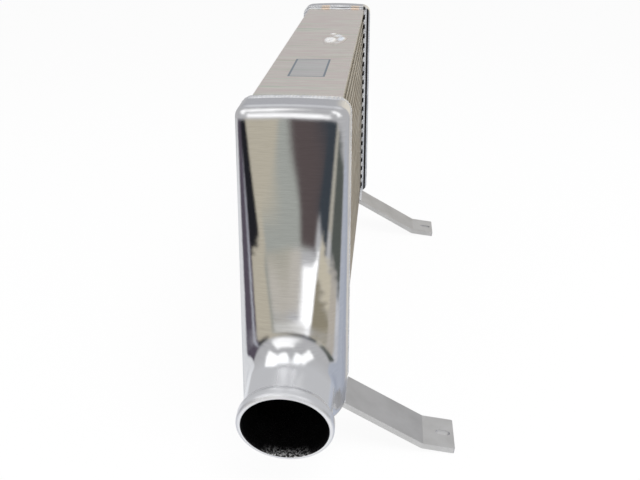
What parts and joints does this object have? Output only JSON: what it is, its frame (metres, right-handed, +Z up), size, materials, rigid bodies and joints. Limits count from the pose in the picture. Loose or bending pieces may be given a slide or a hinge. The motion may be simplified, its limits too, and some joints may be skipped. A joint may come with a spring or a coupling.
{
  "type": "intercooler",
  "caption": "Bar-and-plate charge-air cooler: a finned core between two tapering end tanks with round beaded hose necks, on welded slotted brackets.",
  "frame": {"origin": "centre of the core's flat underside", "axes": "+X through the core's thickness towards the brackets, +Y along the charge-air path with the outlet tank at -Y, +Z up"},
  "size_m": [0.227, 0.8828, 0.3792],
  "materials": {
    "core": "satin, slightly warm from brazing",
    "plate": "brushed across the plate",
    "tank": "mirror-polished with fine scratches",
    "weld": "bright rippled bead",
    "bracket": "satin",
    "fin": "bare foil"
  },
  "bodies": {
    "root": {"air_bars_inlet_end": "core", "air_bars_outlet_end": "core", "air_fin_01": "fin", "air_fin_02": "fin", "air_fin_03": "fin", "air_fin_04": "fin", "air_fin_05": "fin", "air_fin_06": "fin", "air_fin_07": "fin", "air_fin_08": "fin", "air_fin_09": "fin", "air_fin_10": "fin", "air_fin_11": "fin", "air_fin_12": "fin", "air_fin_13": "fin", "air_fin_14": "fin", "air_fin_15": "fin", "air_fin_16": "fin", "air_fin_17": "fin", "air_fin_18": "fin", "air_fin_19": "fin", "air_fin_20": "fin", "bottom_side_plate": "plate", "charge_bars_left": "core", "charge_bars_right": "core", "charge_fin_01": "fin", "charge_fin_02": "fin", "charge_fin_03": "fin", "charge_fin_04": "fin", "charge_fin_05": "fin", "charge_fin_06": "fin", "charge_fin_07": "fin", "charge_fin_08": "fin", "charge_fin_09": "fin", "charge_fin_10": "fin", "charge_fin_11": "fin", "charge_fin_12": "fin", "charge_fin_13": "fin", "charge_fin_14": "fin", "charge_fin_15": "fin", "charge_fin_16": "fin", "charge_fin_17": "fin", "charge_fin_18": "fin", "charge_fin_19": "fin", "charge_fin_20": "fin", "charge_fin_21": "fin", "inlet_bracket": "bracket", "inlet_bracket_welds": "weld", "inlet_rim_weld": "weld", "inlet_tank": "tank", "outlet_bracket": "bracket", "outlet_bracket_welds": "weld", "outlet_rim_weld": "weld", "outlet_tank": "tank", "parting_sheets": "core", "top_side_plate": "plate", "top_weld_patch": "weld"}
  },
  "joints": []
}
